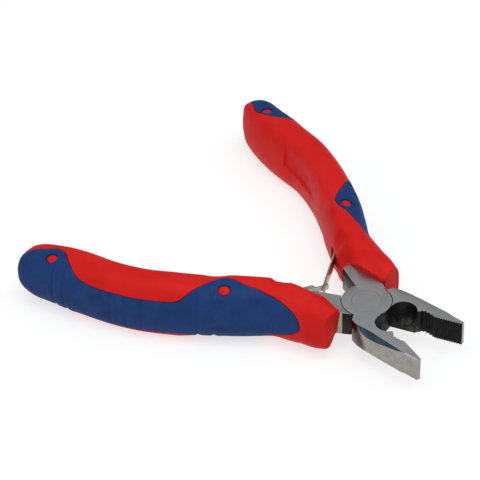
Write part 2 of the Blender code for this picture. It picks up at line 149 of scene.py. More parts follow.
# Soft inlay of each grip: its border on the upper and lower side as (t, n), and its nose as (t, z)
INLAY_LOBE = [(45.0, 4.75), (42.6, 4.0), (41.0, 2.9), (39.0, 1.3), (36.8, -0.6), (34.4, -1.8), (31.6, -1.4),
              (28.5, 0.5), (24.1, 2.3), (20.8, 3.3), (17.4, 3.9), (12.0, 4.4)]
INLAY_WAIST = [(67.5, 5.0), (60.0, 4.9), (52.0, 4.85)]
INLAY_END_LOWER = [(97.0, -1.2), (86.5, -1.1), (82.6, -1.3), (79.7, -1.9), (77.0, -1.1), (75.3, 0.9),
                   (73.1, 3.0), (71.0, 4.4)]
INLAY_END_UPPER = [(97.0, -1.6), (85.4, -1.8), (82.3, -2.5), (79.8, -2.6), (77.2, -1.6), (74.6, 0.0),
                   (72.6, 1.9), (70.8, 4.2)]
INLAY_UNDERSIDE = [(70.3, 4.6), (64.7, 3.9), (56.8, 3.8), (49.0, 4.2), (44.0, 4.2)]
INLAY_NOSE = [(34.0, 12.0), (27.5, 8.8), (24.1, 7.4), (20.8, 6.45), (17.4, 5.2), (14.9, 3.8), (13.6, 2.3),
              (13.1, 0.9), (13.5, -0.4), (14.7, -1.5), (16.9, -2.9), (20.9, -5.0), (26.0, -7.6),
              (34.0, -12.0)]
INLAY_REACH = 12.0
INLAY_DEPTH = 1.2
RECESS_DEPTH = 1.3
PEG_SPOTS_LOWER = [(33.6, 2.1), (79.5, 1.6)]
PEG_SPOTS_UPPER = [(32.5, 0.8), (79.3, -0.2)]
PEG_RADIUS = 1.5
PEG_SINK = 0.6
SEAM = 0.04
SEAM_ROUND = 0.3
GROOVES = [77.8, 74.4, 61.1, 57.3, 53.3, 40.1, 36.3]
GROOVE_DEPTH = 0.36
GROOVE_WIDTH = 0.44
GROOVE_RINGS = (-0.36, -0.18, 0.0, 0.18, 0.36)

# Leaf springs
SPRING_ROOT = [(36.5, -3.05), (31.0, -3.05), (27.0, -3.1)]
SPRING_BLADE = [(22.6, 4.1), (18.0, -0.15), (13.3, -4.5), (12.5, -5.25)]
SPRING_THICKNESS = 0.5
SPRING_HEIGHT = 3.4
SPRING_EDGE = 0.09
SPRING_TONGUE_HEIGHT = 1.4
SPRING_FORK_SLOT = 2.0
SPRING_LINK_LENGTH = 4.2
SPRING_SLOT = [(37.3, -2.45), (37.3, -3.7), (27.0, -3.9), (23.7, -4.5), (22.9, -9.0), (20.0, -9.0),
               (21.3, -4.2), (23.5, -2.45)]
SPRING_SLOT_HEIGHT = 4.0
STUD_T = 33.0
STUD_RADIUS = 0.6
STUD_HEAD_RADIUS = 1.2
STUD_HEAD_HEIGHT = 0.5
STUD_TIP_N = 1.4


# ---------------------------------------------------------------- curves and distances

def smooth_curve(points, per_span):
    """Catmull-Rom points through a few given ones."""
    pts = np.array(points, float)
    padded = np.vstack([2 * pts[0] - pts[1], pts, 2 * pts[-1] - pts[-2]])
    out = []
    for i in range(1, len(padded) - 2):
        before, start, end, after = padded[i - 1:i + 3]
        for step in range(per_span):
            u = step / per_span
            out.append(0.5 * (2 * start + (end - before) * u
                              + (2 * before - 5 * start + 4 * end - after) * u ** 2
                              + (3 * start - before - 3 * end + after) * u ** 3))
    out.append(pts[-1])
    return np.array(out)


STATION_CURVE = smooth_curve(GRIP_STATIONS, 24)


def station(t, column):
    return np.interp(t, STATION_CURVE[:, 0], STATION_CURVE[:, column])


def grip_point(t, n):
    """Handle point of a place n outward from the centre line at t; works on arrays."""
    step = 0.5
    slope = (station(t + step, 1) - station(t - step, 1)) / (2 * step)
    length = np.hypot(1, slope)
    return t - slope / length * n, station(t, 1) + n / length


def offset_outline(outline, distance):
    """Moves each corner of a closed outline outward along its two sides' mean normal."""
    pts = np.array(outline, float)
    area = 0.5 * np.sum(pts[:, 0] * np.roll(pts[:, 1], -1) - np.roll(pts[:, 0], -1) * pts[:, 1])
    sign = 1 if area > 0 else -1
    out = []
    for i, point in enumerate(pts):
        before = point - pts[i - 1]
        after = pts[(i + 1) % len(pts)] - point
        na = np.array([before[1], -before[0]]) / np.hypot(*before) * sign
        nb = np.array([after[1], -after[0]]) / np.hypot(*after) * sign
        mean = (na + nb) / np.linalg.norm(na + nb)
        out.append(point + mean * distance / max(0.5, float(mean @ na)))
    return np.array(out)


def signed_distance(points, outline):
    """Distance from each (x, y) to a closed outline, positive inside it."""
    p = points.reshape(-1, 1, 2)
    a = np.asarray(outline, float)[None]
    b = np.roll(a, -1, axis=1)
    ab = b - a
    share = np.clip(((p - a) * ab).sum(-1) / (ab ** 2).sum(-1), 0, 1)
    gap = np.linalg.norm(p - a - share[..., None] * ab, axis=-1).min(1)
    crosses = (a[..., 1] > p[..., 1]) != (b[..., 1] > p[..., 1])
    rise = np.where(np.abs(ab[..., 1]) < 1e-12, 1e-12, ab[..., 1])
    at = a[..., 0] + (p[..., 1] - a[..., 1]) / rise * ab[..., 0]
    inside = (crosses & (p[..., 0] < at)).sum(1) % 2 == 1
    return np.where(inside, gap, -gap).reshape(points.shape[:-1])


def smoothstep(low, high, value):
    u = np.clip((value - low) / (high - low), 0, 1)
    return u * u * (3 - 2 * u)


def bell(value, centre, width):
    return np.exp(-((value - centre) / width) ** 2)


# ---------------------------------------------------------------- meshes

def mesh_object(name, points, faces):
    """A closed mesh from points in millimetres."""
    mesh = bpy.data.meshes.new(name)
    mesh.from_pydata((np.asarray(points, float) * MM).tolist(), [], faces)
    bm = bmesh.new()
    bm.from_mesh(mesh)
    bmesh.ops.remove_doubles(bm, verts=bm.verts, dist=1e-8)
    bmesh.ops.recalc_face_normals(bm, faces=bm.faces)
    bm.to_mesh(mesh)
    bm.free()
    obj = bpy.data.objects.new(name, mesh)
    bpy.context.scene.collection.objects.link(obj)
    return obj


def loft(name, low, high):
    """A closed solid between two loops with the same number of points."""
    count = len(low)
    faces = [tuple(range(count)), tuple(range(count, 2 * count))]
    faces += [(k, (k + 1) % count, count + (k + 1) % count, count + k) for k in range(count)]
    return mesh_object(name, [*low, *high], faces)


def prism(name, outline, low, high):
    """A flat outline raised from z = low to z = high."""
    return loft(name, *([(x, y, z) for x, y in outline] for z in (low, high)))


def rod(name, radius, start, end, segments):
    """A cylinder between two points in millimetres."""
    start, end = Vector(start), Vector(end)
    turn = Vector((0, 0, 1)).rotation_difference(end - start)
    angles = [2 * math.pi * k / segments for k in range(segments)]
    rims = [turn @ Vector((radius * math.cos(a), radius * math.sin(a), 0)) for a in angles]
    return loft(name, *([tuple(centre + rim) for rim in rims] for centre in (start, end)))


def turned(name, profile, segments=96):
    """A closed profile of (radius, z), first and last on the axis, turned about Z."""
    points, rows = [], []
    for radius, z in profile:
        if radius < 1e-9:
            rows.append([len(points)] * segments)
            points.append((0, 0, z))
        else:
            rows.append(list(range(len(points), len(points) + segments)))
            points += [(radius * math.cos(2 * math.pi * k / segments),
                        radius * math.sin(2 * math.pi * k / segments), z) for k in range(segments)]
    faces = []
    for a, b in zip(rows, rows[1:]):
        for k in range(segments):
            j = (k + 1) % segments
            loop = list(dict.fromkeys((a[k], a[j], b[j], b[k])))
            if len(loop) > 2:
                faces.append(tuple(loop))
    return mesh_object(name, points, faces)


def ellipsoid(name, centre, radii, segments=72, rows=36):
    profile = [(math.sin(math.pi * k / rows), math.cos(math.pi * k / rows)) for k in range(rows + 1)]
    profile[0], profile[-1] = (0, 1), (0, -1)
    obj = turned(name, profile, segments)
    obj.data.transform(Matrix.Diagonal((*radii, 1)))
    obj.data.transform(Matrix.Translation(Vector(centre) * MM))
    return obj


def cut(obj, other, operation="DIFFERENCE"):
    """Applies a Boolean and removes the other object."""
    modifier = obj.modifiers.new("cut", "BOOLEAN")
    modifier.operation = operation
    modifier.solver = "EXACT"
    modifier.object = other
    bpy.context.view_layer.update()
    made = bpy.data.meshes.new_from_object(obj.evaluated_get(bpy.context.evaluated_depsgraph_get()))
    old = obj.data
    obj.modifiers.clear()
    obj.data = made
    bpy.data.meshes.remove(old)
    spent = other.data
    bpy.data.objects.remove(other, do_unlink=True)
    bpy.data.meshes.remove(spent)
    return obj


def backward(points):
    """Handle points to the lower lever's closed frame."""
    return [(-x, -y) for x, y in points]


def place(obj, upper):
    """Turns a closed shape to the open rest pose; an upper one is mirrored first."""
    if upper:
        obj.data.transform(Matrix.Diagonal((1, -1, 1, 1)))
        obj.data.flip_normals()
    obj.data.transform(Matrix.Rotation(-HALF_OPEN if upper else HALF_OPEN, 4, "Z"))
    return obj


def shade(obj, sharp_degrees):
    obj.data.shade_smooth()
    obj.data.set_sharp_from_angle(angle=math.radians(sharp_degrees))


# ---------------------------------------------------------------- grips

NEAR_VERTEX = 0.03


def edges(face):
    return zip(face, face[1:] + face[:1])


class Skin:
    """A mesh with a row of numbers for each vertex, which can be split along lines of equal value."""

    def __init__(self, rows, faces, columns):
        self.rows = [tuple(r) for r in rows]
        self.faces = faces
        self.columns = columns

    def split(self, column, level):
        """Splits each face along the line where the column equals level."""
        c = self.columns[column]
        value = [r[c] - level for r in self.rows]
        # a vertex that the line passes very near to is taken as on it
        for face in self.faces:
            for a, b in edges(face):
                if value[a] * value[b] < 0:
                    share = value[a] / (value[a] - value[b])
                    if share < NEAR_VERTEX:
                        value[a] = 0.0
                    elif share > 1 - NEAR_VERTEX:
                        value[b] = 0.0
        for v, row in enumerate(self.rows):
            if value[v] == 0.0 and row[c] != level:
                self.rows[v] = row[:c] + (level,) + row[c + 1:]
        # a face that the line meets more than twice becomes triangles first
        whole, self.faces = self.faces, []
        for face in whole:
            marks = sum(value[a] * value[b] < 0 for a, b in edges(face)) + sum(value[v] == 0 for v in face)
            fan = [[face[0], face[k], face[k + 1]] for k in range(1, len(face) - 1)]
            self.faces += fan if marks > 2 else [face]
        made, out = {}, []
        for face in self.faces:
            signs = [value[v] for v in face]
            if min(signs) >= 0 or max(signs) <= 0:
                out.append(face)
                continue
            above, below = [], []
            for a, b in edges(face):
                if value[a] >= 0:
                    above.append(a)
                if value[a] <= 0:
                    below.append(a)
                if value[a] * value[b] < 0:
                    key = (min(a, b), max(a, b))
                    if key not in made:
                        u = value[key[0]] / (value[key[0]] - value[key[1]])
                        one, two = self.rows[key[0]], self.rows[key[1]]
                        row = [p + (q - p) * u for p, q in zip(one, two)]
                        row[c] = level
                        made[key] = len(self.rows)
                        self.rows.append(tuple(row))
                        value.append(0.0)
                    above.append(made[key])
                    below.append(made[key])
            out += [part for part in (above, below) if len(part) > 2]
        self.faces = out

    def column(self, name):
        return np.array([r[self.columns[name]] for r in self.rows])


def window(value, low, high, edge):
    """1 between low and high, falling smoothly to 0 over the edge width on either side."""
    return smoothstep(low - edge, low, value) * (1 - smoothstep(high, high + edge, value))


def grip_sway(t, upper):
    """Small sideways set of each moulding's middle, in millimetres outward."""
    return 0.5 * window(t, 16.0, 58.0, 9.0) if upper else -0.35 * window(t, 22.0, 46.0, 9.0)


def grip_relief(t, n, z):
    """How far the moulded surface stands proud of the plain form, in millimetres.

    Along the inner side of the top and underside run a ridge behind the front, a valley before it and a
    crease down the handle. The inner side has a sunk panel and the outer underside is drawn in a little."""
    faces = smoothstep(2.0, 5.0, z) + smoothstep(2.0, 5.0, -z)
    ridge = 0.6 * smoothstep(21.5, 23.0, t) * (1 - smoothstep(32.0, 37.0, t)) * bell(n, -2.6, 1.9) * faces
    height = np.interp(t, [34, 40, 46, 52, 66, 72, 76, 86, 89, 90],
                       [0.1, 0.5, 0.45, 0.3, 0.35, 0.65, 0.8, 0.7, 0.2, 0])
    crease = height * bell(n, -3.2, 1.5) * faces
    valley = -0.9 * bell(t, 20.3, 1.9) * bell(n, -3.9, 1.2) * faces
    edge = np.interp(t, [43, 53, 63], [0.4, -0.4, -0.2])
    inner = smoothstep(2.0, 3.6, -n)
    panel = -0.65 * inner * window(t, 44.5, 63.6, 0.25) * smoothstep(42.0, 52.0, t)
    panel = panel * smoothstep(edge, edge + 0.4, z) * (1 - smoothstep(3.0, 6.4, z))
    tuck = -0.35 * window(t, 22.0, 40.0, 5.0) * smoothstep(3.0, 6.0, -z) * smoothstep(-1.0, 2.0, n)
    end = -0.32 * smoothstep(83.0, 88.5, t) - 0.03 * smoothstep(7.5, 8.5, np.abs(z))
    return ridge + crease + valley + panel + tuck + end


def rounding(depth, radius):
    """How far a rounded edge of that radius falls away at this distance from the edge."""
    u = np.clip(1 - depth / radius, 0, 1)
    return radius * (1 - np.sqrt(np.clip(1 - u * u, 0, 1)))


def signed_power(value, power):
    return np.sign(value) * np.abs(value) ** power


def ring_places():
    """Where the grid's rings lie along the grip, closer together at the grooves and the rounded end."""
    body = np.arange(GRIP_START, GRIP_END - CAP_LENGTH, RING_PITCH)
    extra = [at + shift for at in GROOVES for shift in GROOVE_RINGS]
    apart = np.abs(body[:, None] - np.array(GROOVES)[None]).min(1)
    body = np.sort(np.concatenate([body[apart > 0.5], extra]))
    cap = GRIP_END - CAP_LENGTH * (1 - np.sin(np.pi / 2 * np.arange(0, CAP_RINGS) / CAP_RINGS))
    return np.concatenate([body, cap])


def ring_angles():
    """Angles that space the points evenly round a middle section, the same above and below."""
    fine = np.linspace(0, 2 * np.pi, 4001)
    half_width, half_thickness = MIDDLE_SECTION
    ring = np.column_stack([half_width * signed_power(np.cos(fine), 2 / SECTION_POWER),
                            half_thickness * signed_power(np.sin(fine), 2 / SECTION_POWER)])
    length = np.concatenate([[0], np.cumsum(np.linalg.norm(np.diff(ring, axis=0), axis=1))])
    angles = np.interp(np.arange(SEGMENTS) / SEGMENTS * length[-1], length, fine)
    return (angles + (2 * np.pi - angles[(-np.arange(SEGMENTS)) % SEGMENTS]) % (2 * np.pi)) / 2


def plain_form(ts, angles):
    """Grip coordinates (t, n, z) of the grid: rounded sections, boxier at the front, shrinking at the end."""
    t = ts[:, None] * np.ones(SEGMENTS)[None]
    share = (t - (GRIP_END - CAP_LENGTH)) / CAP_LENGTH
    shrink = np.where(share <= 0, 1, np.clip(1 - np.clip(share, 0, 1) ** CAP_POWER, 0, 1) ** (1 / CAP_POWER))
    c, s = np.cos(angles)[None], np.sin(angles)[None]
    power = 2 / (SECTION_POWER + FRONT_BOXINESS * (1 - smoothstep(5.0, 14.0, t)))
    return t, signed_power(c, power) * station(t, 2) * shrink, signed_power(s, power) * station(t, 3) * shrink


def slopes(values):
    """Steps of a grid's values along the grip and round it."""
    wrapped = np.concatenate([values[:, -1:], values, values[:, :1]], 1)
    return np.gradient(values, axis=0), (wrapped[:, 2:] - wrapped[:, :-2]) / 2


def outward_normals(surface, t):
    along, around = slopes(surface)
    normal = np.cross(around, along)
    normal /= np.maximum(np.linalg.norm(normal, axis=-1, keepdims=True), 1e-9)
    middle = np.stack([t, station(t, 1), 0 * t], -1)
    facing = np.sign(((surface - middle) * normal).sum(-1))
    return normal * np.where(np.median(facing) < 0, -1, 1)


def surface_distance(flat, surface):
    """Turns a distance measured in a flat view into one along the surface."""
    along, around = slopes(surface)
    da, db = slopes(flat)
    e, f, g = (along ** 2).sum(-1), (along * around).sum(-1), (around ** 2).sum(-1)
    steep = (g * da ** 2 - 2 * f * da * db + e * db ** 2) / np.maximum(e * g - f * f, 1e-9)
    return flat / np.maximum(np.sqrt(np.maximum(steep, 0)), 0.25)


def inlay_distance(t, z, plan, surface, upper):
    """Distance inside the inlay's border, negative outside it, without the windows."""
    def plan_distance(border):
        loop = [*border, (border[-1][0], INLAY_REACH), (border[0][0], INLAY_REACH)]
        region = np.column_stack(grip_point(*np.array(loop, float).T))
        return surface_distance(signed_distance(plan, region), surface)

    end = INLAY_END_UPPER if upper else INLAY_END_LOWER
    over = plan_distance(smooth_curve([*end, *INLAY_WAIST, *INLAY_LOBE], 6))
    under = plan_distance(smooth_curve([*end[:-1], *INLAY_UNDERSIDE, *INLAY_LOBE[1:]], 6))
    nose_outline = [*smooth_curve(INLAY_NOSE, 6), (120.0, -INLAY_REACH), (120.0, INLAY_REACH)]
    nose = surface_distance(signed_distance(np.stack([t, z], -1), nose_outline), surface)
    return np.minimum(np.where(z >= 0, over, under), nose)


def window_distance(plan, upper):
    """Distance inside the inlay's round windows, negative outside them."""
    inside = np.full(plan.shape[:-1], -9.0)
    for spot in (PEG_SPOTS_UPPER if upper else PEG_SPOTS_LOWER):
        inside = np.maximum(inside, PEG_RADIUS - np.linalg.norm(plan - np.array(grip_point(*spot)), axis=-1))
    return inside


def front_distance(plan, upper):
    """Distance behind the grip's slanted front, whose corners are rounded."""
    kept = [*GRIP_FRONT, *GRIP_KEPT_BACK]
    if not upper:
        kept = [(x + LOWER_SETBACK * smoothstep(6.2, 7.4, y), y) for x, y in kept]
    return signed_distance(plan, offset_outline(kept, -FRONT_CORNER)) + FRONT_CORNER


def grip_skin(upper):
    """The grip's outer form on a fine grid, split along the inlay's border, the windows and the front."""
    ts = ring_places()
    t, n, z = plain_form(ts, ring_angles())
    x, y = grip_point(t, n + grip_sway(t, upper))
    surface = np.stack([x, y, z], -1)
    normal = outward_normals(surface, t)
    plan = np.stack(grip_point(t, n), -1)
    hole = window_distance(plan, upper)
    blue = np.minimum(inlay_distance(t, z, plan, surface, upper), -hole)
    front = front_distance(plan, upper)
    names = ["x", "y", "z", "nx", "ny", "nz", "t", "n", "blue", "hole", "front"]
    stacked = np.stack([x, y, z, *np.moveaxis(normal, -1, 0), t, n, blue, hole, front], -1)
    rows = stacked.reshape(-1, len(names)).tolist()
    faces = []
    for i in range(len(ts) - 1):
        for k in range(SEGMENTS):
            j = (k + 1) % SEGMENTS
            faces.append([i * SEGMENTS + k, i * SEGMENTS + j, (i + 1) * SEGMENTS + j, (i + 1) * SEGMENTS + k])
    tip, back = (np.array(grip_point(at, 0.0)) for at in (GRIP_END, GRIP_END - 1))
    heading = (tip - back) / np.linalg.norm(tip - back)
    last, point = (len(ts) - 1) * SEGMENTS, len(rows)
    rows.append([*tip.tolist(), 0.0, *heading, 0.0, GRIP_END, 0.0, 2.4, -9.0, 50.0])
    faces += [[last + k, last + (k + 1) % SEGMENTS, point] for k in range(SEGMENTS)]
    skin = Skin(rows, faces, {name: at for at, name in enumerate(names)})
    for level in (0.0, 0.02, 0.08, 0.2, 0.4):
        skin.split("front", level)
    for level in (-SEAM, SEAM, -0.1, 0.1, -0.19, 0.19, -SEAM_ROUND, SEAM_ROUND):
        skin.split("blue", level)
    return skin


def patches(skin, keep, offsets):
    """Raises each kept class of faces to its own height and joins neighbours by walls.

    keep gives each face's class or None, offsets gives each class's heights for all vertices."""
    base = np.array(skin.rows)[:, :3]
    normal = np.array(skin.rows)[:, 3:6]
    normal /= np.linalg.norm(normal, axis=1, keepdims=True)
    index, points, faces = {}, [], []

    def vertex(kind, v):
        key = (kind, v)
        if key not in index:
            index[key] = len(points)
            points.append(base[v] + normal[v] * offsets[kind][v])
        return index[key]

    sides = {}
    for face, kind in zip(skin.faces, keep):
        if kind is None:
            continue
        faces.append([vertex(kind, v) for v in face])
        for a, b in edges(face):
            sides.setdefault((min(a, b), max(a, b)), []).append((kind, a, b))
    loose = []
    for users in sides.values():
        if len(users) == 2 and users[0][0] != users[1][0]:
            (one, a, b), (two, _, _) = users
            faces.append([vertex(one, b), vertex(one, a), vertex(two, a), vertex(two, b)])
        elif len(users) == 1:
            loose.append(users[0])
    return points, faces, loose, vertex


def middle(values, face):
    return sum(values[v] for v in face) / len(face)


def open_loop(loose, y):
    """Puts the vertices of a patch's open edges in order, from the one furthest outward."""
    ends = {}
    for _, a, b in loose:
        ends.setdefault(a, []).append(b)
        ends.setdefault(b, []).append(a)
    order = [max(ends, key=lambda v: y[v])]
    while True:
        following = [v for v in ends[order[-1]] if v not in order[-2:]]
        if not following or following[0] == order[0]:
            return order
        order.append(following[0])


def close_front(points, faces, ring):
    """Closes the open front by a ladder of faces between the ring's upper and lower halves."""
    levels = []
    for row in range(FRONT_ROWS + 1):
        u = row / FRONT_ROWS
        line = []
        for k in range(len(ring) // 2 + 1):
            top, low = ring[k], ring[(-k) % len(ring)]
            if row == 0 or top == low:
                line.append(top)
            elif row == FRONT_ROWS:
                line.append(low)
            else:
                line.append(len(points))
                points.append(points[top] * (1 - u) + points[low] * u)
        levels.append(line)
    for one, two in zip(levels, levels[1:]):
        for k in range(len(one) - 1):
            loop = list(dict.fromkeys((one[k], one[k + 1], two[k + 1], two[k])))
            if len(loop) > 2:
                faces.append(loop)


def tang_outline():
    return [grip_point(t, n) for t, n in TANG] + [grip_point(t, -n) for t, n in reversed(TANG)]


def cut_slab(obj, outline, half_height):
    """Cuts a handle outline out of an object, to the same height above and below the middle."""
    cut(obj, prism("slab", backward(outline), MID_Z - half_height, MID_Z + half_height))


def make_core(side, skin, relief):
    """The red part: its skin, the recess under the inlay and the pegs, with sockets for the steel."""
    blue, hole, front, y, z = (skin.column(name) for name in ("blue", "hole", "front", "y", "z"))
    keep = []
    for face in skin.faces:
        if max(front[v] for v in face) < 1e-6:
            keep.append(None)
        elif middle(blue, face) > -SEAM:
            keep.append("recess")
        else:
            keep.append("peg" if middle(hole, face) > 0 else "skin")
    nose = 0.35 + 0.35 * smoothstep(6.5, 8.5, y)
    slope = (1 - smoothstep(0.0, 5.5, front)) * (1 - smoothstep(6.0, 10.0, y)) * smoothstep(1.0, 4.0, z)
    under = (1 - smoothstep(0.0, 4.5, front)) * smoothstep(1.5, 6.0, -z) * (1 - smoothstep(7.5, 12.5, y))
    front_fall = rounding(np.maximum(front, 0), nose) + 1.7 * slope + 3.2 * under
    seam_fall = rounding(-blue - SEAM, SEAM_ROUND)
    heights = {"skin": relief - seam_fall - front_fall,
               "peg": -PEG_SINK - seam_fall * 0.6,
               "recess": np.full(len(blue), -RECESS_DEPTH)}
    points, faces, loose, vertex = patches(skin, keep, heights)
    close_front(points, faces, [vertex("skin", v) for v in open_loop(loose, y)])
    core = mesh_object(side + "_grip_moulding", closed(points), faces)
    cut_slab(core, offset_outline(NECK, SOCKET_FIT), MID_Z + SOCKET_FIT)
    cut_slab(core, offset_outline(tang_outline(), SOCKET_FIT), TANG_HALF_THICKNESS + SOCKET_FIT)
    cut_slab(core, [grip_point(t, n) for t, n in SPRING_SLOT], SPRING_SLOT_HEIGHT / 2)
    return core


def make_inlay(side, skin, relief):
    """The blue part: a closed shell with a grooved outer skin."""
    blue, t, n, z = (skin.column(name) for name in ("blue", "t", "n", "z"))
    keep = ["out" if middle(blue, face) > SEAM else None for face in skin.faces]
    proud = 0.08 + 0.22 * bell(t, 36.0, 7.0) * smoothstep(0.0, 3.0, n) * smoothstep(-2.0, 1.0, z)
    proud = proud * (1 - smoothstep(6.0, 8.0, np.abs(z)))
    grooves = sum(bell(t, at, GROOVE_WIDTH) for at in GROOVES) * smoothstep(1.5, 3.5, n) * GROOVE_DEPTH
    heights = {"out": relief + proud - grooves - rounding(blue - SEAM, SEAM_ROUND)}
    points, faces, loose, vertex = patches(skin, keep, heights)
    inner = {}
    base = np.array(skin.rows)
    for v in sorted({v for face, kind in zip(skin.faces, keep) if kind for v in face}):
        inner[v] = len(points)
        points.append(base[v, :3] - base[v, 3:6] / np.linalg.norm(base[v, 3:6]) * INLAY_DEPTH)
    for face, kind in zip(skin.faces, keep):
        if kind:
            faces.append([inner[v] for v in reversed(face)])
    for kind, a, b in loose:
        faces.append([vertex(kind, b), vertex(kind, a), inner[a], inner[b]])
    return mesh_object(side + "_grip_soft_inlay", closed(points), faces)


def make_grip(side, upper):
    skin = grip_skin(upper)
    relief = grip_relief(*(skin.column(name) for name in ("t", "n", "z")))
    return make_core(side, skin, relief), make_inlay(side, skin, relief)


def closed(points):
    """Handle points with z measured from the middle, to the lower lever's closed frame."""
    pts = np.array(points, float)
    return np.column_stack([-pts[:, 0], -pts[:, 1], pts[:, 2] + MID_Z])


# ---------------------------------------------------------------- levers

def fine_teeth():
    """The saw of the flat tip, from its front to the pipe grip; the middle teeth are a little deeper."""
    points = []
    pitch = (FINE_START_X - TIP_X) / FINE_TEETH
    for k in range(FINE_TEETH):
        x = TIP_X + k * pitch
        share = (k + 0.5) / FINE_TEETH
        valley = JAW_CLEARANCE + FINE_DEPTH * (1 + share * (1 - share) * 0.3)
        points += [(x, JAW_CLEARANCE), (x + pitch * 0.42, valley), (x + pitch * 0.58, valley + 0.005)]
    return points + [(FINE_START_X, JAW_CLEARANCE)]


def jaw_outline():
    """From the tip back along the closing line, then forward along the outer side."""
    outer = [tuple(p) for p in smooth_curve(JAW_OUTER, 6)]
    return fine_teeth() + PIPE_TEETH + JAW_ROOT[::-1] + JAW_HEEL[::-1] + outer[::-1]


def hollow_cutter(upper):
    """The shape ground out of the upper lever's top outer edge, or the lower lever's edge underneath."""
    (x0, y0), (x1, y1) = JAW_OUTER[1], JAW_OUTER[3]
    along = Vector((x0 - x1, y0 - y1, 0)).normalized()
    outward = Vector((-along.y, along.x, 0))
    face = Vector((0, 0, 1 if upper else -1))
    across = outward * math.cos(HOLLOW_TILT) - face * math.sin(HOLLOW_TILT)
    normal = outward * math.sin(HOLLOW_TILT) + face * math.cos(HOLLOW_TILT)
    start = Vector((x1, y1, HEAD_THICKNESS if upper else 0.0))
    curve = smooth_curve(HOLLOW_PROFILE, 8).tolist()
    curve = [(curve[0][0], -5.0), *curve, (curve[-1][0], -5.0)]
    return loft("hollow", *([tuple(start + along * ((x - x1) / along.x) - normal * deep + across * reach)
                             for x, deep in curve] for reach in (-8.0, 8.0)))


def rivet_profile(gap, over):
    """The rivet's bore, wider by a gap and run on beyond both faces of the head."""
    top_cone = (RIVET_TOP_RADIUS - RIVET_SHANK_RADIUS) / RIVET_CONE_HEIGHT
    low_cone = (RIVET_BOTTOM_RADIUS - RIVET_SHANK_RADIUS) / RIVET_CONE_HEIGHT
    return [(0, HEAD_THICKNESS + over),
            (RIVET_TOP_RADIUS + gap + over * top_cone, HEAD_THICKNESS + over),
            (RIVET_SHANK_RADIUS + gap, HEAD_THICKNESS - RIVET_CONE_HEIGHT),
            (RIVET_SHANK_RADIUS + gap, RIVET_CONE_HEIGHT),
            (RIVET_BOTTOM_RADIUS + gap + over * low_cone, -over),
            (0, -over)]


def make_lever(side, upper, finishes):
    """One forged half: jaw, neck and tang in one, cut back to half thickness round the boss."""
    jaw = prism(side + "_lever_forging", jaw_outline(), 0, HEAD_THICKNESS)
    cut(jaw, hollow_cutter(upper))
    cut(jaw, ellipsoid("scoop", (*SCOOP_CENTRE, HEAD_THICKNESS + SCOOP_RISE),
                       (SCOOP_RADIUS, SCOOP_RADIUS, SCOOP_DEPTH)))
    cut(jaw, prism("neck", backward(NECK), 0, HEAD_THICKNESS), "UNION")
    cut(jaw, prism("tang", backward(tang_outline()), MID_Z - TANG_HALF_THICKNESS,
                   MID_Z + TANG_HALF_THICKNESS), "UNION")
    low, high = MID_Z - LAP_GAP / 2, MID_Z + LAP_GAP / 2
    if upper:
        pocket, boss = (-1.0, high + POCKET_STEP), (high, HEAD_THICKNESS)
    else:
        pocket, boss = (low - POCKET_STEP, HEAD_THICKNESS + 1.0), (0.0, low)
    cut(jaw, rod("pocket", BOSS_RADIUS + RUNNING_GAP, (0, 0, pocket[0]), (0, 0, pocket[1]), 128))
    cut(jaw, rod("boss", BOSS_RADIUS, (0, 0, boss[0]), (0, 0, boss[1]), 128), "UNION")
    cut(jaw, turned("bore", rivet_profile(RIVET_FIT, 1.0)))
    bevel_long_edges(jaw)
    finish_faces(jaw, upper, finishes)
    return jaw


def near_scoop(p, margin):
    return math.hypot(p.x - SCOOP_CENTRE[0], p.y - SCOOP_CENTRE[1]) < SCOOP_RADIUS + margin


def edge_kind(edge):
    """"tip" for a sharp edge at the outer side of the jaw's tip, "long" for another one to break, or None."""
    if len(edge.link_faces) != 2 or edge.calc_face_angle(0) < math.radians(40):
        return None
    a, b = (v.co / MM for v in edge.verts)
    m = (a + b) / 2
    on_flat = abs(a.z - b.z) < 1e-4 and min(abs(m.z), abs(m.z - HEAD_THICKNESS)) < 1e-3
    if not on_flat or (a - b).length < 0.25:
        return None
    if min(a.x, b.x) > TIP_EDGE_X and min(a.y, b.y) > 0.5:
        return "tip"
    at_teeth = m.x > 3 and m.y < 2.2
    at_rivet = math.hypot(m.x, m.y) < RIVET_TOP_RADIUS + 0.6
    return None if at_teeth or at_rivet or (near_scoop(m, 0.3) and m.z > 1) else "long"


def bevel_long_edges(obj):
    """Breaks the forging's long sharp edges, away from the teeth and the scoop."""
    bm = bmesh.new()
    bm.from_mesh(obj.data)
    bmesh.ops.remove_doubles(bm, verts=bm.verts, dist=2e-6)
    bmesh.ops.dissolve_degenerate(bm, edges=bm.edges, dist=2e-6)
    kinds = [(edge, edge_kind(edge)) for edge in bm.edges]
    bmesh.ops.bevel(bm, geom=[edge for edge, kind in kinds if kind == "tip"], offset=TIP_BEVEL * MM,
                    segments=3, profile=0.5, affect="EDGES")
    bmesh.ops.bevel(bm, geom=[edge for edge, kind in kinds if kind == "long" and edge.is_valid],
                    offset=EDGE_BEVEL * MM, segments=2, profile=0.5, affect="EDGES", clamp_overlap=True)
    bmesh.ops.recalc_face_normals(bm, faces=bm.faces)
    bm.to_mesh(obj.data)
    bm.free()


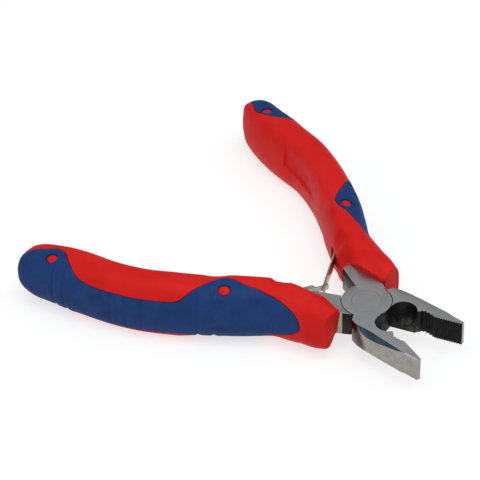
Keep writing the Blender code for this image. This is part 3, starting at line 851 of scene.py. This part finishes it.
def jaw_finish(c, n, upper):
    """The finish of a jaw's face from its centre in millimetres and its normal."""
    inner = c.y < 2.0 and abs(n.z) < 0.9 and n.y < 0.3 and c.x < TIP_X - 0.05
    # the hollow along the outer top edge takes the painted dark blue reflection
    if 0.16 < (n.z if upper else -n.z) < 0.32 and HOLLOW_ENDS[0] < c.x < HOLLOW_ENDS[1] and c.y > 2.0:
        return "hollow_reflection"
    # the tip's bevelled outer edge takes the painted highlight
    if c.x > TIP_EDGE_X and c.y > 0.5 and 0.1 < abs(n.z) < 0.98:
        return "bright"
    if c.x < HEEL_X and 4.0 < c.y < 7.2:
        return "heel"
    return "oxide" if inner or near_scoop(c, 0.2) else "polished"


def finish_faces(obj, upper, finishes):
    """Gives each face of a lever its finish by where it lies and how it faces."""
    mesh = obj.data
    mesh.materials.clear()
    for made in finishes.values():
        mesh.materials.append(made)
    order = list(finishes)
    for face in mesh.polygons:
        c, n = face.center / MM, face.normal
        if abs(n.z) > 0.985 and (c.z > HEAD_THICKNESS - 0.3 or c.z < 0.3):
            kind = "ground"
        elif math.hypot(c.x, c.y) < BOSS_RADIUS + 0.5:
            kind = "oxide"
        elif c.x > 3.0:
            kind = jaw_finish(c, n, upper)
        else:
            kind = "polished" if n.y < -0.2 and c.x < -3.8 and c.y < -4 and not upper else "oxide"
        face.material_index = order.index(kind)


# ---------------------------------------------------------------- springs and rivets

def stud_line(n):
    return (*backward([grip_point(STUD_T, n)])[0], MID_Z)


def make_spring(side, forked):
    """A strip on edge; its tip is a tongue, or a fork that the other strip's tongue runs through."""
    path = smooth_curve([grip_point(t, n) for t, n in SPRING_ROOT] + SPRING_BLADE, 14)
    tangents = np.gradient(path, axis=0)
    tangents /= np.linalg.norm(tangents, axis=1)[:, None]
    normals = np.column_stack([-tangents[:, 1], tangents[:, 0]])
    tip, before = np.array(SPRING_BLADE[-1]), np.array(SPRING_BLADE[-3])
    along = (before - tip) / np.linalg.norm(before - tip)
    reach = np.maximum(0, (path - tip) @ along)
    half_h, half_t, edge = SPRING_HEIGHT / 2, SPRING_THICKNESS / 2, SPRING_EDGE
    section = [(-half_t, -half_h + edge), (-half_t + edge, -half_h), (half_t - edge, -half_h),
               (half_t, -half_h + edge), (half_t, half_h - edge), (half_t - edge, half_h),
               (-half_t + edge, half_h), (-half_t, half_h - edge)]
    points, faces = [], []
    width = len(section)
    for p, nrm, far in zip(path, normals, reach):
        narrow = 1.0
        if not forked:
            u = smoothstep(SPRING_LINK_LENGTH - 0.9, SPRING_LINK_LENGTH + 0.3, far)
            narrow = SPRING_TONGUE_HEIGHT / SPRING_HEIGHT * (1 - u) + u
        for w, h in section:
            points.append((-(p[0] + nrm[0] * w), -(p[1] + nrm[1] * w), MID_Z + h * narrow))
    for i in range(len(path) - 1):
        for k in range(width):
            j = (k + 1) % width
            faces.append((i * width + k, i * width + j, (i + 1) * width + j, (i + 1) * width + k))
    faces.append(tuple(range(width)))
    faces.append(tuple(range((len(path) - 1) * width, len(path) * width)))
    blade = mesh_object(side + "_return_spring", points, faces)
    if forked:
        across = np.array([-along[1], along[0]])
        near, far = tip + along * 0.45, tip + along * (SPRING_LINK_LENGTH - 1.0)
        opening = [near - across * 2, near + across * 2, far + across * 2, far - across * 2]
        cut_slab(blade, opening, SPRING_FORK_SLOT / 2)
    cut(blade, rod("eye", STUD_RADIUS + 0.05, stud_line(-5.0), stud_line(-1.0), 32))
    return blade


def make_stud(side):
    """The small domed rivet at a spring's root."""
    base = SPRING_ROOT[0][1] - SPRING_THICKNESS / 2 - 0.05
    profile = [(0, STUD_HEAD_HEIGHT), (0.45, 0.47), (0.85, 0.36), (1.1, 0.2), (STUD_HEAD_RADIUS, 0.0),
               (STUD_RADIUS, 0.0), (STUD_RADIUS, base - STUD_TIP_N), (0, base - STUD_TIP_N)]
    obj = turned(side + "_spring_root_rivet", profile, 32)
    start, end = Vector(stud_line(STUD_TIP_N)), Vector(stud_line(base))
    turn = Vector((0, 0, 1)).rotation_difference(end - start).to_matrix().to_4x4()
    obj.data.transform(Matrix.Translation(end * MM) @ turn)
    return obj


def make_rivet():
    """The pivot rivet: a shank between two countersunk cones, ground flush and with softened rims."""
    edge, inset = 0.05, 0.01
    top, low, shank = RIVET_TOP_RADIUS, RIVET_BOTTOM_RADIUS, RIVET_SHANK_RADIUS
    profile = [(0, HEAD_THICKNESS), (top - edge, HEAD_THICKNESS), (top - inset, HEAD_THICKNESS - edge),
               (shank, HEAD_THICKNESS - RIVET_CONE_HEIGHT), (shank, RIVET_CONE_HEIGHT),
               (low - inset, edge), (low - edge, 0.0), (0, 0.0)]
    return turned("pivot_rivet_body", profile, 128)


# ---------------------------------------------------------------- materials

NOISE_SPAN = (0.3, 0.7)


def new_material(name, base, roughness, metallic=0.0):
    made = bpy.data.materials.new(name)
    made.use_nodes = True
    shader = made.node_tree.nodes["Principled BSDF"]
    shader.inputs["Base Color"].default_value = (*base, 1)
    shader.inputs["Roughness"].default_value = roughness
    shader.inputs["Metallic"].default_value = metallic
    return made, made.node_tree, shader


def add(tree, kind, **inputs):
    made = tree.nodes.new(kind)
    for name, value in inputs.items():
        key = name.replace("_", " ")
        if key in made.inputs:
            made.inputs[key].default_value = value
        else:
            setattr(made, name, value)
    return made


def place_coords(tree, scale=(1, 1, 1)):
    coords = tree.nodes.new("ShaderNodeTexCoord")
    mapping = add(tree, "ShaderNodeMapping", Scale=scale)
    tree.links.new(coords.outputs["Object"], mapping.inputs["Vector"])
    return mapping.outputs["Vector"]


def noise(tree, size_mm, detail, stretch=(1, 1, 1)):
    """Noise whose features are about size_mm across."""
    made = add(tree, "ShaderNodeTexNoise", Scale=1.0 / (size_mm * MM), Detail=detail, Roughness=0.55)
    tree.links.new(place_coords(tree, stretch), made.inputs["Vector"])
    return made.outputs["Fac"]


def ramp(tree, value, low, high, stops=NOISE_SPAN):
    """A two-stop colour ramp over a value."""
    made = tree.nodes.new("ShaderNodeValToRGB")
    made.color_ramp.elements[0].position, made.color_ramp.elements[1].position = stops
    made.color_ramp.elements[0].color, made.color_ramp.elements[1].color = (*low, 1), (*high, 1)
    tree.links.new(value, made.inputs["Fac"])
    return made.outputs["Color"]


def remap(tree, value, source, target, shape):
    made = add(tree, "ShaderNodeMapRange", From_Min=source[0], From_Max=source[1], To_Min=target[0],
               To_Max=target[1], interpolation_type=shape)
    tree.links.new(value, made.inputs["Value"])
    return made.outputs["Result"]


def bump(tree, shader, value, strength, distance_mm, under=None):
    made = add(tree, "ShaderNodeBump", Strength=strength, Distance=distance_mm * MM)
    tree.links.new(value, made.inputs["Height"])
    if under is not None:
        tree.links.new(under, made.inputs["Normal"])
    tree.links.new(made.outputs["Normal"], shader.inputs["Normal"])
    return made.outputs["Normal"]


def mixed(tree, mask, low, high):
    made = add(tree, "ShaderNodeMix", data_type="RGBA")
    tree.links.new(mask, made.inputs[0])
    tree.links.new(low, made.inputs[6])
    tree.links.new(high, made.inputs[7])
    return made.outputs[2]


def fade(tree, value, full_mm, none_mm):
    """1 up to the first length, 0 beyond the second."""
    return remap(tree, value, (full_mm * MM, none_mm * MM), (1.0, 0.0), "SMOOTHSTEP")


def mirrored_coords(tree):
    """Coordinates that are the same on both jaws."""
    made = add(tree, "ShaderNodeVectorMath", operation="ABSOLUTE")
    tree.links.new(place_coords(tree), made.inputs[0])
    return made.outputs["Vector"]


def heel_painted_reflection_mask(tree):
    """The heel's dark painted reflection of the shaded red grip, which fades out along a slanting line across
    the jaw's outer wall.
    """
    along = add(tree, "ShaderNodeVectorMath", operation="DOT_PRODUCT")
    along.inputs[1].default_value = (math.cos(HALF_OPEN), math.sin(HALF_OPEN), HEEL_LEAN)
    tree.links.new(mirrored_coords(tree), along.inputs[0])
    return fade(tree, along.outputs["Value"], *HEEL_FADE)


def floor_reflection_spot_mask(tree):
    """A light spot low in the cutter's relief: a painted reflection of the floor on the black oxide."""
    off = add(tree, "ShaderNodeVectorMath", operation="DISTANCE")
    off.inputs[1].default_value = tuple(v * MM for v in FLOOR_REFLECTION_SPOT)
    tree.links.new(mirrored_coords(tree), off.inputs[0])
    return fade(tree, off.outputs["Value"], *FLOOR_REFLECTION_FADE)


def tint(tree, shader, colour):
    tree.links.new(colour, shader.inputs["Base Color"])


def gloss(tree, shader, value, low, high):
    """Lets the roughness vary between two values."""
    tree.links.new(remap(tree, value, NOISE_SPAN, (low, high), "LINEAR"), shader.inputs["Roughness"])


def plastic_red():
    made, tree, shader = new_material("red_moulded_plastic", (0.6, 0.016, 0.014), 0.46)
    tint(tree, shader, ramp(tree, noise(tree, 7.0, 4.0), (0.57, 0.012, 0.011), (0.65, 0.02, 0.017)))
    gloss(tree, shader, noise(tree, 1.2, 5.0), 0.4, 0.52)
    soft = bump(tree, shader, noise(tree, 3.0, 2.0), 0.25, 0.05)
    bump(tree, shader, noise(tree, 0.16, 3.0), 0.2, 0.02, soft)
    shader.inputs["Specular IOR Level"].default_value = 0.04
    return made


def rubber_blue():
    made, tree, shader = new_material("blue_soft_rubber", (0.018, 0.055, 0.19), 0.6)
    tint(tree, shader, ramp(tree, noise(tree, 5.0, 4.0), (0.009, 0.034, 0.128), (0.014, 0.05, 0.17)))
    gloss(tree, shader, noise(tree, 0.9, 5.0), 0.52, 0.68)
    soft = bump(tree, shader, noise(tree, 2.2, 2.0), 0.25, 0.05)
    bump(tree, shader, noise(tree, 0.2, 4.0), 0.4, 0.03, soft)
    shader.inputs["Specular IOR Level"].default_value = 0.08
    return made


def steel_ground():
    made, tree, shader = new_material("ground_steel", (0.4, 0.4, 0.41), 0.38, 1.0)
    tint(tree, shader, ramp(tree, noise(tree, 2.5, 5.0), (0.44, 0.44, 0.445), (0.52, 0.515, 0.51)))
    lines = noise(tree, 0.5, 4.0, (0.12, 6.0, 1.0))
    gloss(tree, shader, lines, 0.3, 0.46)
    soft = bump(tree, shader, noise(tree, 2.0, 2.0), 0.15, 0.02)
    bump(tree, shader, lines, 0.12, 0.01, soft)
    return made


def steel_polished(heel=False):
    """The jaws' outer walls; the heel's version has a dark painted reflection up to a slanting line."""
    name = "heel_steel_painted_reflection" if heel else "polished_steel"
    made, tree, shader = new_material(name, (0.62, 0.6, 0.57), 0.16, 1.0)
    colour = ramp(tree, noise(tree, 1.8, 5.0), (0.25, 0.24, 0.215), (0.33, 0.315, 0.285))
    if heel:
        # dark purplish red: a painted reflection of the shaded red grip in the heel's wall
        dark = ramp(tree, noise(tree, 1.6, 4.0), (0.03, 0.016, 0.024), (0.095, 0.055, 0.066))
        colour = mixed(tree, heel_painted_reflection_mask(tree), colour, dark)
    tint(tree, shader, colour)
    lines = noise(tree, 0.6, 4.0, (1.0, 1.0, 7.0))
    gloss(tree, shader, lines, 0.12, 0.22)
    soft = bump(tree, shader, noise(tree, 3.0, 1.0), 0.12, 0.03)
    bump(tree, shader, lines, 0.06, 0.005, soft)
    return made


def steel_oxide():
    made, tree, shader = new_material("black_oxide_steel", (0.012, 0.012, 0.012), 0.45, 0.3)
    shader.inputs["Specular IOR Level"].default_value = 0.25
    black = ramp(tree, noise(tree, 0.9, 6.0), (0.004, 0.004, 0.004), (0.022, 0.021, 0.018), (0.42, 0.78))
    # light colour for the painted floor reflection in the cutter's relief
    floor_reflection_colour = ramp(tree, noise(tree, 0.5, 4.0), (0.05, 0.045, 0.03), (0.3, 0.28, 0.2))
    tint(tree, shader, mixed(tree, floor_reflection_spot_mask(tree), black, floor_reflection_colour))
    gloss(tree, shader, noise(tree, 0.4, 5.0), 0.3, 0.55)
    bump(tree, shader, noise(tree, 0.25, 4.0), 0.25, 0.03)
    return made


def steel_hollow_reflection():
    # dark blue: a painted reflection of the dim surroundings in the hollow ground along the outer edge
    made, tree, shader = new_material("hollow_steel_painted_reflection", (0.03, 0.05, 0.08), 0.3, 1.0)
    tint(tree, shader, ramp(tree, noise(tree, 2.2, 4.0), (0.018, 0.034, 0.05), (0.045, 0.075, 0.105)))
    lines = noise(tree, 0.6, 4.0, (1.0, 1.0, 6.0))
    gloss(tree, shader, lines, 0.24, 0.36)
    bump(tree, shader, lines, 0.08, 0.006)
    return made


def steel_tip_highlight():
    # a lighter, half-matt colour on the tip's bevelled edge: a painted highlight
    made, tree, shader = new_material("tip_edge_painted_highlight", (0.72, 0.71, 0.69), 0.3, 0.3)
    tint(tree, shader, ramp(tree, noise(tree, 1.0, 4.0), (0.42, 0.415, 0.4), (0.55, 0.54, 0.52)))
    gloss(tree, shader, noise(tree, 0.5, 4.0), 0.18, 0.3)
    return made


def steel_spring():
    made, tree, shader = new_material("spring_strip_steel", (0.6, 0.56, 0.5), 0.2, 1.0)
    tint(tree, shader, ramp(tree, noise(tree, 1.5, 5.0), (0.4, 0.36, 0.31), (0.58, 0.53, 0.47)))
    lines = noise(tree, 0.5, 4.0, (0.3, 0.3, 8.0))
    gloss(tree, shader, lines, 0.16, 0.3)
    bump(tree, shader, lines, 0.08, 0.005)
    return made


# ---------------------------------------------------------------- the object

GROUND = steel_ground()
FINISHES = {"ground": GROUND, "polished": steel_polished(), "oxide": steel_oxide(), "hollow_reflection": steel_hollow_reflection(),
            "bright": steel_tip_highlight(), "heel": steel_polished(True)}
RED, BLUE, STRIP = plastic_red(), rubber_blue(), steel_spring()


def finish(obj, upper, body, node, made=None, sharp=35):
    """Puts a piece in its place; it rides its body and stands for one CAD node."""
    if made is not None:
        obj.data.materials.clear()
        obj.data.materials.append(made)
    shade(obj, sharp)
    if upper is not None:
        place(obj, upper)
    if body is not None:
        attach(obj, body)
    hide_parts(node)


for upper in (False, True):
    side, opposite = ("upper", "lower") if upper else ("lower", "upper")
    body, other = side + "_half", opposite + "_half"
    finish(make_lever(side, upper, FINISHES), upper, body, side + "_lever", None, 30)
    core, inlay = make_grip(side, upper)
    finish(core, upper, body, side + "_grip_core", RED)
    finish(inlay, upper, body, side + "_grip_inlay", BLUE)
    finish(make_stud(side), upper, body, side + "_spring_rivet", STRIP)
    spring = make_spring(side, upper)
    finish(spring, upper, None, side + "_spring", STRIP)
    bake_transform(spring)

finish(make_rivet(), None, "lower_half", "pivot_rivet", GROUND, 30)

# ---------------------------------------------------------------- floor, light, camera

FLOOR_REACH = 4.0
TOOL_MIDDLE = Vector((-0.03, 0, 0))
CAMERA_TARGET = Vector((-0.0375, -0.0027, 0.0068))
CAMERA_DISTANCE = 0.6625


def link(name, data):
    obj = bpy.data.objects.new(name, data)
    bpy.context.scene.collection.objects.link(obj)
    return obj


def direction(azimuth, elevation):
    """Unit vector towards that azimuth (0 is -Y, 90 is +X) and elevation in degrees."""
    a, e = math.radians(azimuth), math.radians(elevation)
    return Vector((math.sin(a) * math.cos(e), -math.cos(a) * math.cos(e), math.sin(e)))


floor_mesh = bpy.data.meshes.new("floor")
corners = [(x * FLOOR_REACH, y * FLOOR_REACH, CAD_BOX[0].z) for x, y in ((-1, -1), (1, -1), (1, 1), (-1, 1))]
floor_mesh.from_pydata(corners, [], [(0, 1, 2, 3)])
floor_material, _, floor_shader = new_material("floor_white", (0.36, 0.36, 0.36), 0.9)
floor_shader.inputs["Specular IOR Level"].default_value = 0.0
floor_shader.inputs["Emission Color"].default_value = (1, 1, 1, 1)
floor_shader.inputs["Emission Strength"].default_value = 0.67
floor_mesh.materials.append(floor_material)
link("floor", floor_mesh)

world = bpy.data.worlds.new("studio")
bpy.context.scene.world = world
world.use_nodes = True
sky = world.node_tree
sky_up = sky.nodes.new("ShaderNodeSeparateXYZ")
sky.links.new(sky.nodes.new("ShaderNodeTexCoord").outputs["Generated"], sky_up.inputs["Vector"])
sky_tone = ramp(sky, sky_up.outputs["Z"], (0.05, 0.085, 0.12), (0.43, 0.45, 0.465), (0.12, 0.45))
sky.links.new(sky_tone, sky.nodes["Background"].inputs["Color"])


def area_light(name, azimuth, elevation, distance, size, power):
    """A square light in that direction, aimed at the tool."""
    away = direction(azimuth, elevation)
    data = bpy.data.lights.new(name, "AREA")
    data.shape = "SQUARE"
    data.size = size
    data.energy = power
    obj = link(name, data)
    obj.location = TOOL_MIDDLE + away * distance
    obj.rotation_euler = away.to_track_quat("Z", "Y").to_euler()


area_light("key", 32.0, 70.0, 1.2, 0.9, 7.0)
area_light("fill", 120.0, 60.0, 1.4, 1.0, 4.4)
area_light("edge", 317.0, 33.0, 1.2, 0.3, 0.9)

camera_data = bpy.data.cameras.new("camera")
camera_data.sensor_width = 36.0
camera_data.lens = 191.1
camera_data.shift_x = -0.01875
camera_data.shift_y = 0.0104
camera_data.clip_start = 0.01
camera_data.clip_end = 20.0
camera = link("camera", camera_data)
away = direction(42.7, 38.8)
camera.location = CAMERA_TARGET + away * CAMERA_DISTANCE
roll = Matrix.Rotation(math.radians(-1.4), 3, "Z")
camera.rotation_euler = (away.to_track_quat("Z", "Y").to_matrix() @ roll).to_euler()
bpy.context.scene.camera = camera
bpy.context.scene.view_settings.view_transform = "Standard"
